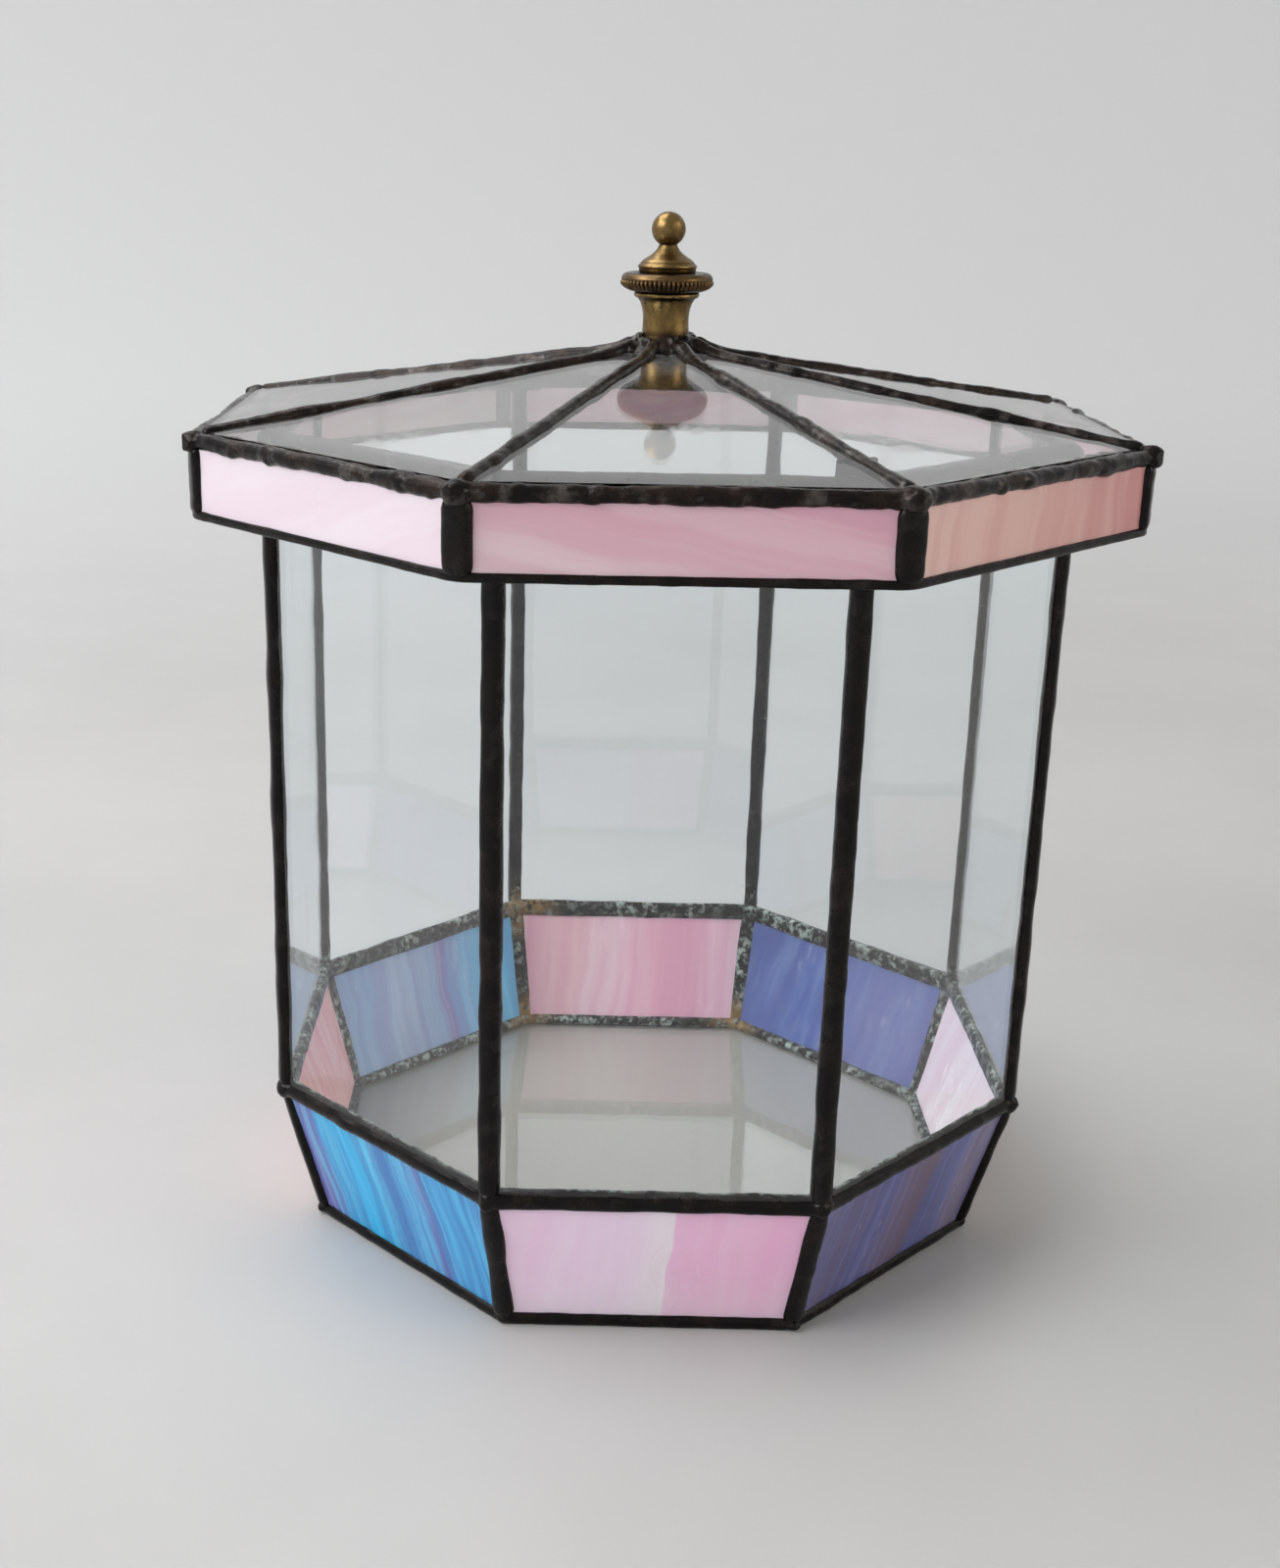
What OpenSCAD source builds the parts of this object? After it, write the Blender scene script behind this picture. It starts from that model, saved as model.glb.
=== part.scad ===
// Octagonal stained glass display case with a lift-off lid.
// Millimetres, +Z up, origin on the table under the centre of the case.
// Side 0 faces -Y, and the sides are counted anticlockwise seen from above.

/* [Glass] */
// Thickness of every pane
glass_t = 3; // [2:0.5:4]
// Foil and solder between two neighbouring panes
foil_gap = 0.5; // [0.3:0.1:1]

/* [Case] */
// Width of the base across its flats
base_flats = 202; // [196:1:206]
// Width of the walls across their flats
wall_flats = 224; // [220:1:228]
// Height of the sill, where the skirt meets the walls
sill_z = 46; // [40:1:60]
// Height of the walls' top edge
wall_top_z = 243; // [200:1:243]

/* [Lid] */
// Width of the fascia across its flats
lid_flats = 262; // [258:1:270]
// Height of the inner corner between roof and fascia
eave_z = 245; // [245:1:250]
// Slope of the roof panes
roof_slope = 9.2; // [9.2:0.1:14]
// Height of the fascia's bottom edge
fascia_bottom_z = 224.7; // [218:0.1:228]
// How far the two locating tabs hang below the roof
tab_drop = 10; // [6:1:14]

/* [Solder seams] */
// Radius of the bead round the foot of the case
base_bead_r = 2.6; // [2.4:0.1:3]
// Radius of the sloping beads between the skirt panes
skirt_bead_r = 3; // [2.4:0.1:3.4]
// Radius of the beads along the sill and the rim
ring_bead_r = 2.8; // [2.4:0.1:2.8]
// Radius of the corner posts
post_bead_r = 3.1; // [2.4:0.1:3.4]
// Radius of the beads along the roof's ridges
ridge_bead_r = 3.1; // [2.4:0.1:3.2]
// Radius of the bead along the eave
eave_bead_r = 3.3; // [2.8:0.1:3.4]
// Radius of the short upright beads between the fascia panes
fascia_bead_r = 3.9; // [3:0.1:4.2]
// Thickness of the tinned edge on each side of the fascia's hem
hem_skin = 0.8; // [0.4:0.1:1]
// Height of the tinned edge along the hem
hem_h = 2.6; // [2:0.1:4]

/* [Finial] */
// Height of the finial
finial_h = 37.6; // [36:0.1:40]
// Height of the finial's foot above the table
finial_z = 268.6; // [268.6:0.1:270]
// Radius of the knurled collar
collar_r = 13.7; // [13:0.1:15]
// Thickness of the knurled collar
collar_t = 5.3; // [5:0.1:7]
// Number of flutes round the knurled collar
flutes = 60; // [40:1:72]
// Radius of the ball on top
ball_r = 4.95; // [4.5:0.05:6]
// Radius of the threaded stud inside
stud_r = 3; // [2:0.1:3.4]

/* [Hidden] */
sides = 8;
side_names = ["front", "front_right", "right", "back_right", "back", "back_left", "left", "front_left"];

turn = 360 / sides;
half_turn = turn / 2;
mitre_gap = 0.1;

// distances from the centre to the inner faces of the glass
base_in = base_flats / 2 - glass_t;
wall_in = wall_flats / 2 - glass_t;
lid_in = lid_flats / 2 - glass_t;

// the floor pane stands just clear of the table, and its top edge meets the skirt's inner corner
floor_z = 0.7;
skirt_z = floor_z + glass_t;
skirt_lean = atan((wall_in - base_in) / (sill_z - skirt_z));
skirt_len = norm([wall_in - base_in, sill_z - skirt_z]) - foil_gap;

// height of the roof panes' underside at a distance from the centre, square to a side
function roof_under(a) = eave_z + (lid_in - a) * tan(roof_slope);
roof_len = lid_in / cos(roof_slope);
roof_hole = 6;

// middles of the glass, where the beads have their centre lines
base_mid = [base_in + 1.6, 1.9];
wall_mid = wall_in + glass_t / 2;
eave_mid = [lid_in + 1.3, eave_z + 0.8];
fascia_mid = lid_in + glass_t / 2;
hem_z = fascia_bottom_z - 0.7;

// beads stop this far from the bead that they run into
trim = 0.6;
ridge_start = 13;
ridge_stop = (eave_mid[0] - eave_bead_r) / cos(half_turn) - trim;

// finial, heights above its foot
neck_h = 15.2;
band_r = 8.6;
band_h = 2.8;
ball_z = finial_h - ball_r;
knob_z = neck_h + collar_t;
cone_z = knob_z + band_h;
throat_r = 2.5;
throat_z = ball_z - sqrt(ball_r * ball_r - throat_r * throat_r);
stud_top = finial_z + cone_z + 1.2;
stud_bottom = finial_z - 5;

solder_colour = [0.13, 0.12, 0.11];
clear_colour = [0.85, 0.93, 0.9, 0.35];
pink_colour = [0.93, 0.68, 0.78];
blue_colour = [0.35, 0.62, 0.85];
violet_colour = [0.5, 0.48, 0.75];
brass_colour = [0.62, 0.48, 0.22];
skirt_colours = [pink_colour, violet_colour, pink_colour, violet_colour,
                 pink_colour, blue_colour, pink_colour, blue_colour];

// half the width of a side at a distance from the centre
function half_side(a) = a * tan(half_turn);
function pane_half(a) = half_side(a) - foil_gap / 2;
// the corner between side 0 and side 1, at a distance from the centre square to the side
function corner(a, z) = [half_side(a), -a, z];

module at_side(k, a, z, lean) {
    rotate([0, 0, turn * k])
        translate([0, -a, z])
            rotate([lean, 0, 0])
                children();
}

// a pane with its inner face on the local XY plane, its lower edge on the X axis
module pane(low_half, high_half, len) {
    linear_extrude(glass_t)
        polygon([[-low_half, 0], [low_half, 0], [high_half, len], [-high_half, len]]);
}

module octagon(a, h) {
    rotate([0, 0, half_turn])
        cylinder(h = h, r = a / cos(half_turn), $fn = sides);
}

module rod(p, q, r) {
    v = q - p;
    translate(p)
        rotate([0, acos(v[2] / norm(v)), atan2(v[1], v[0])])
            cylinder(h = norm(v), r = r, $fn = 48);
}

// the slice of space in front of side 0, which mitres a ring's straights a hair apart
module slice() {
    reach = lid_flats;
    linear_extrude(finial_z)
        translate([0, -mitre_gap])
            polygon([[0, 0], [-half_side(reach), -reach], [half_side(reach), -reach]]);
}

// one straight of a ring of bead, mitred at both ends
module ring_straight(a, z, r) {
    intersection() {
        translate([0, -a, z])
            rotate([0, 90, 0])
                cylinder(h = lid_flats, r = r, center = true, $fn = 48);
        slice();
    }
}

module each_side() {
    for (k = [0 : sides - 1])
        rotate([0, 0, turn * k])
            children();
}

// glass of the case

module floor_pane() {
    color(clear_colour)
        translate([0, 0, floor_z])
            octagon(base_in - foil_gap, glass_t);
}

module skirt_glass(k) {
    at_side(k, base_in, skirt_z, 90 + skirt_lean)
        pane(pane_half(base_in), pane_half(wall_in), skirt_len);
}

module skirt_pane(k) {
    color(skirt_colours[k])
        skirt_glass(k);
}

module wall_glass(k) {
    at_side(k, wall_in, sill_z, 90)
        pane(pane_half(wall_in), pane_half(wall_in), wall_top_z - sill_z);
}

module wall_pane(k) {
    color(clear_colour)
        wall_glass(k);
}

// solder of the case

module base_seam() {
    color(solder_colour)
        each_side()
            difference() {
                ring_straight(base_mid[0], base_mid[1], base_bead_r);
                skirt_glass(0);
                translate([0, 0, floor_z])
                    octagon(base_in - foil_gap, glass_t);
            }
}

module skirt_seams() {
    low = corner(base_mid[0], base_mid[1]);
    high = corner(wall_mid, sill_z);
    along = (high - low) / norm(high - low);
    color(solder_colour)
        each_side()
            difference() {
                rod(low + along * (base_bead_r + 2 * trim), high - along * (ring_bead_r + 2 * trim),
                    skirt_bead_r);
                skirt_glass(0);
                skirt_glass(1);
            }
}

module sill_seam() {
    color(solder_colour)
        each_side()
            difference() {
                ring_straight(wall_mid, sill_z, ring_bead_r);
                skirt_glass(0);
                wall_glass(0);
            }
}

module corner_posts() {
    color(solder_colour)
        each_side()
            difference() {
                rod(corner(wall_mid, sill_z + ring_bead_r), corner(wall_mid, wall_top_z - ring_bead_r),
                    post_bead_r);
                wall_glass(0);
                wall_glass(1);
            }
}

module rim_seam() {
    color(solder_colour)
        each_side()
            difference() {
                ring_straight(wall_mid, wall_top_z, ring_bead_r);
                wall_glass(0);
            }
}

// glass of the lid

module roof_glass(k) {
    at_side(k, lid_in, eave_z, roof_slope)
        pane(pane_half(lid_in), pane_half(roof_hole), roof_len - roof_hole / cos(roof_slope));
}

module roof_pane(k) {
    color(clear_colour)
        roof_glass(k);
}

module fascia_glass(k) {
    at_side(k, lid_in, fascia_bottom_z, 90)
        pane(pane_half(lid_in), pane_half(lid_in), eave_z - foil_gap - fascia_bottom_z);
}

module fascia_pane(k) {
    color(pink_colour)
        fascia_glass(k);
}

// solder of the lid

function ridge_point(r) =
    [r * sin(half_turn), -r * cos(half_turn), roof_under(r * cos(half_turn)) + glass_t / 2];

module ridge_rod() {
    rod(ridge_point(ridge_start), ridge_point(ridge_stop), ridge_bead_r);
}

module ridge_seams() {
    color(solder_colour)
        each_side()
            difference() {
                ridge_rod();
                roof_glass(0);
                roof_glass(1);
            }
}

module eave_seam() {
    color(solder_colour)
        each_side()
            difference() {
                ring_straight(eave_mid[0], eave_mid[1], eave_bead_r);
                roof_glass(0);
                fascia_glass(0);
            }
}

module fascia_rod() {
    rod(corner(fascia_mid, hem_z), corner(fascia_mid, eave_mid[1] - eave_bead_r), fascia_bead_r);
}

module fascia_seams() {
    color(solder_colour)
        each_side()
            difference() {
                fascia_rod();
                fascia_glass(0);
                fascia_glass(1);
            }
}

module hem_seam() {
    long = 2 * half_side(lid_in);
    color(solder_colour)
        each_side()
            difference() {
                translate([-long / 2, -lid_in - glass_t - hem_skin, hem_z])
                    cube([long, glass_t + 2 * hem_skin, hem_h]);
                fascia_glass(0);
                fascia_rod();
                rotate([0, 0, -turn])
                    fascia_rod();
            }
}

module solder_collar() {
    foot = roof_under(0);
    color(solder_colour)
        difference() {
            rotate_extrude($fn = 64)
                polygon([[0, foot - 2.4], [5, foot - 2.4], [10, foot - 3.2], [12, foot - 1.6],
                         [12.4, foot + 1.4], [10.8, foot + 3.6], [9, foot + 5], [8.4, finial_z + 3],
                         [7.6, finial_z + 3], [7.6, finial_z], [0, finial_z]]);
            for (k = [0 : sides - 1])
                roof_glass(k);
            translate([0, 0, stud_bottom])
                cylinder(h = finial_h, r = stud_r, $fn = 48);
        }
}

// two tabs on opposite corners that hang just inside the walls
module locating_tabs() {
    tab_w = 11;
    tab_t = 1.2;
    tab_at = (wall_in - ring_bead_r) / cos(half_turn) - 2.6;
    tab_top = roof_under(tab_at * cos(half_turn)) + 1;
    color(solder_colour)
        for (k = [0, 4])
            rotate([0, 0, turn * k])
                difference() {
                    rotate([0, 0, half_turn])
                        translate([-tab_w / 2, -tab_at, tab_top - tab_drop])
                            cube([tab_w, tab_t, tab_drop]);
                    ridge_rod();
                    roof_glass(0);
                    roof_glass(1);
                }
}

// finial

module stud_hole() {
    cylinder(h = stud_top - finial_z, r = stud_r, $fn = 48);
}

module finial_neck() {
    foot_r = 7.6;
    waist_r = 6.9;
    top_r = 9.7;
    steps = 10;
    lip = 1.4;
    cove_z = 3;
    // the cove is a quarter wave from the waist to the lip
    cove = [for (i = [0 : steps])
        let (u = i / steps)
        [waist_r + (top_r - waist_r) * (1 - cos(90 * u)), cove_z + (neck_h - lip - cove_z) * sin(90 * u)]];
    color(brass_colour)
        translate([0, 0, finial_z])
            difference() {
                rotate_extrude($fn = 96)
                    polygon(concat([[0, 0], [foot_r, 0], [foot_r, 1.6]], cove, [[top_r, neck_h], [0, neck_h]]));
                stud_hole();
            }
}

module finial_collar() {
    edge = 0.9;
    flute_r = 0.35;
    color(brass_colour)
        translate([0, 0, finial_z + neck_h])
            difference() {
                rotate_extrude($fn = 96)
                    polygon([[0, 0], [collar_r - 2.4, 0], [collar_r - edge, edge], [collar_r, edge],
                             [collar_r, collar_t - edge], [collar_r - edge, collar_t - edge],
                             [collar_r - 2.4, collar_t], [0, collar_t]]);
                for (i = [0 : flutes - 1])
                    rotate([0, 0, i * 360 / flutes])
                        translate([collar_r, 0, 0])
                            cylinder(h = collar_t, r = flute_r, $fn = 16);
                translate([0, 0, -neck_h])
                    stud_hole();
            }
}

module finial_knob() {
    steps = 10;
    cone_h = throat_z - cone_z;
    // the cone is hollow-sided, from the band up to the throat under the ball
    cone = [for (i = [0 : steps])
        let (u = i / steps)
        [throat_r + (band_r - 0.8 - throat_r) * (1 - sin(90 * u)), cone_z + cone_h * (1 - cos(90 * u))]];
    color(brass_colour)
        translate([0, 0, finial_z])
            difference() {
                union() {
                    rotate_extrude($fn = 96)
                        polygon(concat([[0, knob_z], [band_r, knob_z], [band_r, cone_z]], cone,
                                       [[throat_r, ball_z], [0, ball_z]]));
                    translate([0, 0, ball_z])
                        sphere(r = ball_r, $fn = 96);
                }
                stud_hole();
            }
}

module finial_stud() {
    color(brass_colour)
        translate([0, 0, stud_bottom])
            cylinder(h = stud_top - stud_bottom, r = stud_r, $fn = 48);
}

floor_pane();
for (k = [0 : sides - 1]) {
    skirt_pane(k);
    wall_pane(k);
    roof_pane(k);
    fascia_pane(k);
}
base_seam();
skirt_seams();
sill_seam();
corner_posts();
rim_seam();
ridge_seams();
eave_seam();
fascia_seams();
hem_seam();
solder_collar();
locating_tabs();
finial_neck();
finial_collar();
finial_knob();
finial_stud();
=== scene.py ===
import bmesh
import bpy
import math
import random
from mathutils import Euler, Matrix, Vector, noise


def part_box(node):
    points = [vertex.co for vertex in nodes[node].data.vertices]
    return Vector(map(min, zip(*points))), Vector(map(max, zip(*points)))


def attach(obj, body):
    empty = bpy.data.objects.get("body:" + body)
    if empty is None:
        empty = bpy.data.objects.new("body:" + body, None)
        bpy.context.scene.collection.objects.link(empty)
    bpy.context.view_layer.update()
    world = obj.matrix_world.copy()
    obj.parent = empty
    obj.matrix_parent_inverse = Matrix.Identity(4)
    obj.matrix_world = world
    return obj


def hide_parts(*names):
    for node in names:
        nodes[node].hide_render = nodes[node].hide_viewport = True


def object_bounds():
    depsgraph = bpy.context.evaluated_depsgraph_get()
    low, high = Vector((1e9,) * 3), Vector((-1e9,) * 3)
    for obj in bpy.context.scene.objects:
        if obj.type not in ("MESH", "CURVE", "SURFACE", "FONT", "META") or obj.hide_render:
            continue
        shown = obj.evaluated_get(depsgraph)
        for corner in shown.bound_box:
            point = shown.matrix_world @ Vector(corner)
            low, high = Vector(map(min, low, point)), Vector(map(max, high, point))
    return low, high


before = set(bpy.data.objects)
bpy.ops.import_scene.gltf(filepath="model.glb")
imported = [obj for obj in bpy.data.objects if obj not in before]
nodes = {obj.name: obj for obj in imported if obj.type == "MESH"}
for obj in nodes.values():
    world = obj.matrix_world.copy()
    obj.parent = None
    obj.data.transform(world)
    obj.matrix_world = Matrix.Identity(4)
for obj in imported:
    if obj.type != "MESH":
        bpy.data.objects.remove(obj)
cadLow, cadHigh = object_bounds()
scene = bpy.context.scene
scene.view_settings.view_transform = "Standard"
scene.cycles.transparent_max_bounces = 24
noise.seed_set(5)  # so that beads wander the same way each run
print("frame loaded:", len(nodes), "nodes")

mm = 0.001
sides = 8
turnStep = math.radians(360 / sides)
halfTurn = turnStep / 2
sideNames = ["front", "front_right", "right", "back_right", "back", "back_left", "left", "front_left"]


# camera, kept at the angle the object was seen from
camera = {
    "place": (-27.4, -583.1, 321.8),  # mm
    "yaw": -0.015,  # radians, all three
    "pitch": 0.316,
    "roll": 0.015,
    "lens": 44.34,  # mm on a 36 mm sensor
    "shift": (0.0664, 0.0),
}


def makeCamera(look):
    data = bpy.data.cameras.new("camera")
    data.sensor_width = 36
    data.lens = look["lens"]
    data.shift_x, data.shift_y = look["shift"]
    data.clip_start = 0.01
    body = bpy.data.objects.new("camera", data)
    scene.collection.objects.link(body)
    body.location = Vector(look["place"]) * mm
    aim = Euler((math.pi / 2 - look["pitch"], 0, -look["yaw"])).to_matrix()
    body.rotation_euler = (aim @ Euler((0, 0, look["roll"])).to_matrix()).to_euler()
    scene.camera = body


makeCamera(camera)


# where things are, read off the frame

def ringOf(node, radius):
    # centre line of a ring of bead: distance from the middle square to a side, and height
    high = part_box(node)[1]
    return high.y - radius * mm, high.z - radius * mm


def atCorner(index, apothem, z):
    angle = -math.pi / 2 + halfTurn + index * turnStep
    reach = apothem / math.cos(halfTurn)
    return Vector((reach * math.cos(angle), reach * math.sin(angle), z))


outward = [Vector((math.sin(k * turnStep), -math.cos(k * turnStep), 0)) for k in range(sides)]
lidInner = -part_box("fascia_pane_front")[1].y
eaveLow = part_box("roof_pane_front")[0]
glassThick = -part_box("wall_pane_front")[0].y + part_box("wall_pane_front")[1].y
roofFace = max(nodes["roof_pane_front"].data.polygons, key=lambda p: p.area).normal
roofSlope = math.atan2(math.hypot(roofFace.x, roofFace.y), abs(roofFace.z))


def ridgeHeight(reach):
    # middle of the roof glass under a ridge, at a distance from the middle of the case
    inward = lidInner - reach * math.cos(halfTurn)
    return eaveLow.z + inward * math.tan(roofSlope) + glassThick / 2


def ridgePoint(index, reach, lift=0.0):
    angle = -math.pi / 2 + halfTurn + index * turnStep
    return Vector((reach * math.cos(angle), reach * math.sin(angle), ridgeHeight(reach) + lift))


# node tree helpers

def addNode(tree, kind, inputs=None, **settings):
    made = tree.nodes.new(kind)
    for key, value in settings.items():
        setattr(made, key, value)
    for key, value in (inputs or {}).items():
        if isinstance(value, bpy.types.NodeSocket):
            tree.links.new(value, made.inputs[key])
        else:
            made.inputs[key].default_value = value
    return made


def mathNode(tree, kind, first, second=0.0):
    return addNode(tree, "ShaderNodeMath", {0: first, 1: second}, operation=kind).outputs[0]


def vectorNode(tree, kind, first, second):
    return addNode(tree, "ShaderNodeVectorMath", {0: first, 1: second}, operation=kind).outputs[0]


def blendColour(tree, factor, first, second):
    made = addNode(tree, "ShaderNodeMix", {"Factor": factor}, data_type="RGBA")
    for key, value in ((6, first), (7, second)):
        if isinstance(value, bpy.types.NodeSocket):
            tree.links.new(value, made.inputs[key])
        else:
            made.inputs[key].default_value = (*value[:3], 1)
    return made.outputs[2]


def noiseNode(tree, vector, scale, detail=3.0, rough=0.5):
    inputs = {"Vector": vector, "Scale": scale, "Detail": detail, "Roughness": rough}
    return addNode(tree, "ShaderNodeTexNoise", inputs).outputs["Fac"]


def stretch(tree, value, low, high, newLow=0.0, newHigh=1.0):
    inputs = {"Value": value, "From Min": low, "From Max": high, "To Min": newLow, "To Max": newHigh}
    return addNode(tree, "ShaderNodeMapRange", inputs, interpolation_type="SMOOTHSTEP").outputs["Result"]


def ramp(tree, value, stops):
    made = addNode(tree, "ShaderNodeValToRGB", {"Fac": value})
    made.color_ramp.interpolation = "EASE"
    elements = made.color_ramp.elements
    while len(elements) < len(stops):
        elements.new(0.5)
    for element, (place, colour) in zip(elements, stops):
        element.position = place
        element.color = (*colour, 1)
    return made.outputs["Color"]


def acrossRamp(tree, value, stops):
    # colours set out along a distance, each stop given as mm and a screen colour
    low, high = stops[0][0], stops[-1][0]
    share = addNode(tree, "ShaderNodeMapRange", {"Value": value, "From Min": low, "From Max": high})
    placed = [((at - low) / (high - low), paint(*rgb)) for at, rgb in stops]
    return ramp(tree, share.outputs["Result"], placed)


def paint(red, green, blue):
    # a screen colour, 0 to 255, as the linear value that shaders take
    def straight(v):
        v /= 255
        return v / 12.92 if v <= 0.04045 else ((v + 0.055) / 1.055) ** 2.4
    return straight(red), straight(green), straight(blue)


def newGroup(name, inputs, outputs):
    tree = bpy.data.node_groups.new(name, "ShaderNodeTree")
    for label, kind, value in inputs:
        socket = tree.interface.new_socket(name=label, in_out="INPUT", socket_type=kind)
        if value is not None:
            socket.default_value = value
    for label, kind in outputs:
        tree.interface.new_socket(name=label, in_out="OUTPUT", socket_type=kind)
    return tree, tree.nodes.new("NodeGroupInput"), tree.nodes.new("NodeGroupOutput")


def newMaterial(name):
    made = bpy.data.materials.new(name)
    made.use_nodes = True
    tree = made.node_tree
    tree.nodes.clear()
    out = tree.nodes.new("ShaderNodeOutputMaterial")
    shader = tree.nodes.new("ShaderNodeBsdfPrincipled")
    tree.links.new(shader.outputs[0], out.inputs["Surface"])
    place = addNode(tree, "ShaderNodeTexCoord").outputs["Object"]
    inMm = addNode(tree, "ShaderNodeVectorMath", {0: place, 3: 1000.0}, operation="SCALE").outputs[0]
    return made, tree, shader, out, inMm


# effects that several materials share

def streakGroup():
    # streaks in rolled art glass: broad bands of colour and fine wisps along one direction
    tree, inn, out = newGroup("glassStreaks", [
        ("Vector", "NodeSocketVector", None),  # mm
        ("Turn", "NodeSocketFloat", 0.0),  # which way the pane faces, radians
        ("Lean", "NodeSocketFloat", 0.0),  # lean of the streaks from upright, radians
        ("Across", "NodeSocketFloat", 0.06),  # bands per mm
        ("Along", "NodeSocketFloat", 0.01),
        ("Warp", "NodeSocketFloat", 6.0),  # mm
        ("Seed", "NodeSocketFloat", 0.0),
    ], [("Bands", "NodeSocketFloat"), ("Wisps", "NodeSocketFloat"), ("Sideways", "NodeSocketFloat"),
        ("Cloud", "NodeSocketFloat")])
    back = mathNode(tree, "MULTIPLY", inn.outputs["Turn"], -1.0)
    faced = addNode(tree, "ShaderNodeVectorRotate", {"Vector": inn.outputs["Vector"], "Angle": back},
                    rotation_type="Z_AXIS").outputs[0]
    parts = addNode(tree, "ShaderNodeSeparateXYZ", {0: faced}).outputs
    sine = mathNode(tree, "SINE", inn.outputs["Lean"])
    cosine = mathNode(tree, "COSINE", inn.outputs["Lean"])
    across = mathNode(tree, "SUBTRACT", mathNode(tree, "MULTIPLY", parts["X"], cosine),
                      mathNode(tree, "MULTIPLY", parts["Z"], sine))
    along = mathNode(tree, "ADD", mathNode(tree, "MULTIPLY", parts["X"], sine),
                     mathNode(tree, "MULTIPLY", parts["Z"], cosine))
    seed = inn.outputs["Seed"]
    flat = addNode(tree, "ShaderNodeCombineXYZ", {0: across, 1: along, 2: seed}).outputs[0]
    cloud = noiseNode(tree, flat, 0.035, 2.0)
    pushed = mathNode(tree, "MULTIPLY", mathNode(tree, "SUBTRACT", cloud, 0.5), inn.outputs["Warp"])
    bent = mathNode(tree, "ADD", across, pushed)
    longWay = mathNode(tree, "MULTIPLY", along, inn.outputs["Along"])
    wideWay = mathNode(tree, "MULTIPLY", bent, inn.outputs["Across"])
    bandPlace = addNode(tree, "ShaderNodeCombineXYZ", {0: wideWay, 1: longWay, 2: seed}).outputs[0]
    bands = noiseNode(tree, bandPlace, 1.0, 3.0, 0.55)
    finePlace = vectorNode(tree, "MULTIPLY", bandPlace, (2.7, 1.3, 1.0))
    wisps = noiseNode(tree, finePlace, 1.0, 3.0, 0.55)
    tree.links.new(stretch(tree, bands, 0.28, 0.72), out.inputs["Bands"])
    tree.links.new(stretch(tree, wisps, 0.32, 0.7), out.inputs["Wisps"])
    tree.links.new(bent, out.inputs["Sideways"])
    tree.links.new(cloud, out.inputs["Cloud"])
    return tree


def grimeGroup():
    # handling marks and dust on glass: a soft mask and a slight swim in the surface
    tree, inn, out = newGroup("glassGrime", [
        ("Vector", "NodeSocketVector", None),  # mm
        ("Seed", "NodeSocketFloat", 0.0),
    ], [("Smear", "NodeSocketFloat"), ("Specks", "NodeSocketFloat"), ("Swim", "NodeSocketFloat")])
    moved = vectorNode(tree, "ADD", inn.outputs["Vector"], inn.outputs["Seed"])
    broad = noiseNode(tree, moved, 0.03, 3.0, 0.6)
    streaky = vectorNode(tree, "MULTIPLY", moved, (0.25, 0.25, 0.04))
    wiped = noiseNode(tree, streaky, 1.0, 4.0, 0.6)
    smear = mathNode(tree, "MULTIPLY", stretch(tree, broad, 0.42, 0.7), stretch(tree, wiped, 0.35, 0.7))
    specks = stretch(tree, noiseNode(tree, moved, 1.3, 2.0), 0.7, 0.78)
    tree.links.new(smear, out.inputs["Smear"])
    tree.links.new(specks, out.inputs["Specks"])
    tree.links.new(noiseNode(tree, moved, 0.028, 1.0), out.inputs["Swim"])
    return tree


def patinaGroup():
    # black patina on solder: brown bloom, lighter worn spots that are partly wear and partly painted
    # highlight, and a fine crust
    tree, inn, out = newGroup("patina", [
        ("Vector", "NodeSocketVector", None),  # mm
        ("Dark", "NodeSocketColor", (0.02, 0.018, 0.016, 1)),
        ("Brown", "NodeSocketColor", (0.06, 0.04, 0.03, 1)),
        ("WornGlint", "NodeSocketColor", (0.2, 0.18, 0.16, 1)),
        ("WornGlintShare", "NodeSocketFloat", 0.3),
    ], [("Color", "NodeSocketColor"), ("Roughness", "NodeSocketFloat"), ("Height", "NodeSocketFloat")])
    place = inn.outputs["Vector"]
    bloom = stretch(tree, noiseNode(tree, place, 0.09, 4.0, 0.6), 0.42, 0.66)
    # lighter spots: partly rubbed wear, partly painted highlight standing in for glints on the bead
    spots = stretch(tree, noiseNode(tree, place, 0.17, 4.0, 0.62), 0.5, 0.7)
    spots = mathNode(tree, "MULTIPLY", spots, inn.outputs["WornGlintShare"])
    colour = blendColour(tree, bloom, inn.outputs["Dark"], inn.outputs["Brown"])
    colour = blendColour(tree, spots, colour, inn.outputs["WornGlint"])
    grain = noiseNode(tree, place, 1.6, 4.0, 0.6)
    rough = mathNode(tree, "ADD", mathNode(tree, "MULTIPLY", bloom, 0.12),
                     mathNode(tree, "MULTIPLY", grain, 0.2))
    tree.links.new(colour, out.inputs["Color"])
    tree.links.new(mathNode(tree, "ADD", rough, 0.09), out.inputs["Roughness"])
    tree.links.new(grain, out.inputs["Height"])
    return tree


streaks, grime, patina = streakGroup(), grimeGroup(), patinaGroup()
print("shader groups made")


# materials

def grimeOn(tree, place, seed):
    return addNode(tree, "ShaderNodeGroup", node_tree=grime, inputs={"Vector": place, "Seed": seed}).outputs


def roughen(tree, shader, height, deep, strength=1.0):
    # deep is the height of the bumps in mm
    bump = addNode(tree, "ShaderNodeBump", {"Height": height, "Distance": deep * mm, "Strength": strength})
    tree.links.new(bump.outputs[0], shader.inputs["Normal"])


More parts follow.
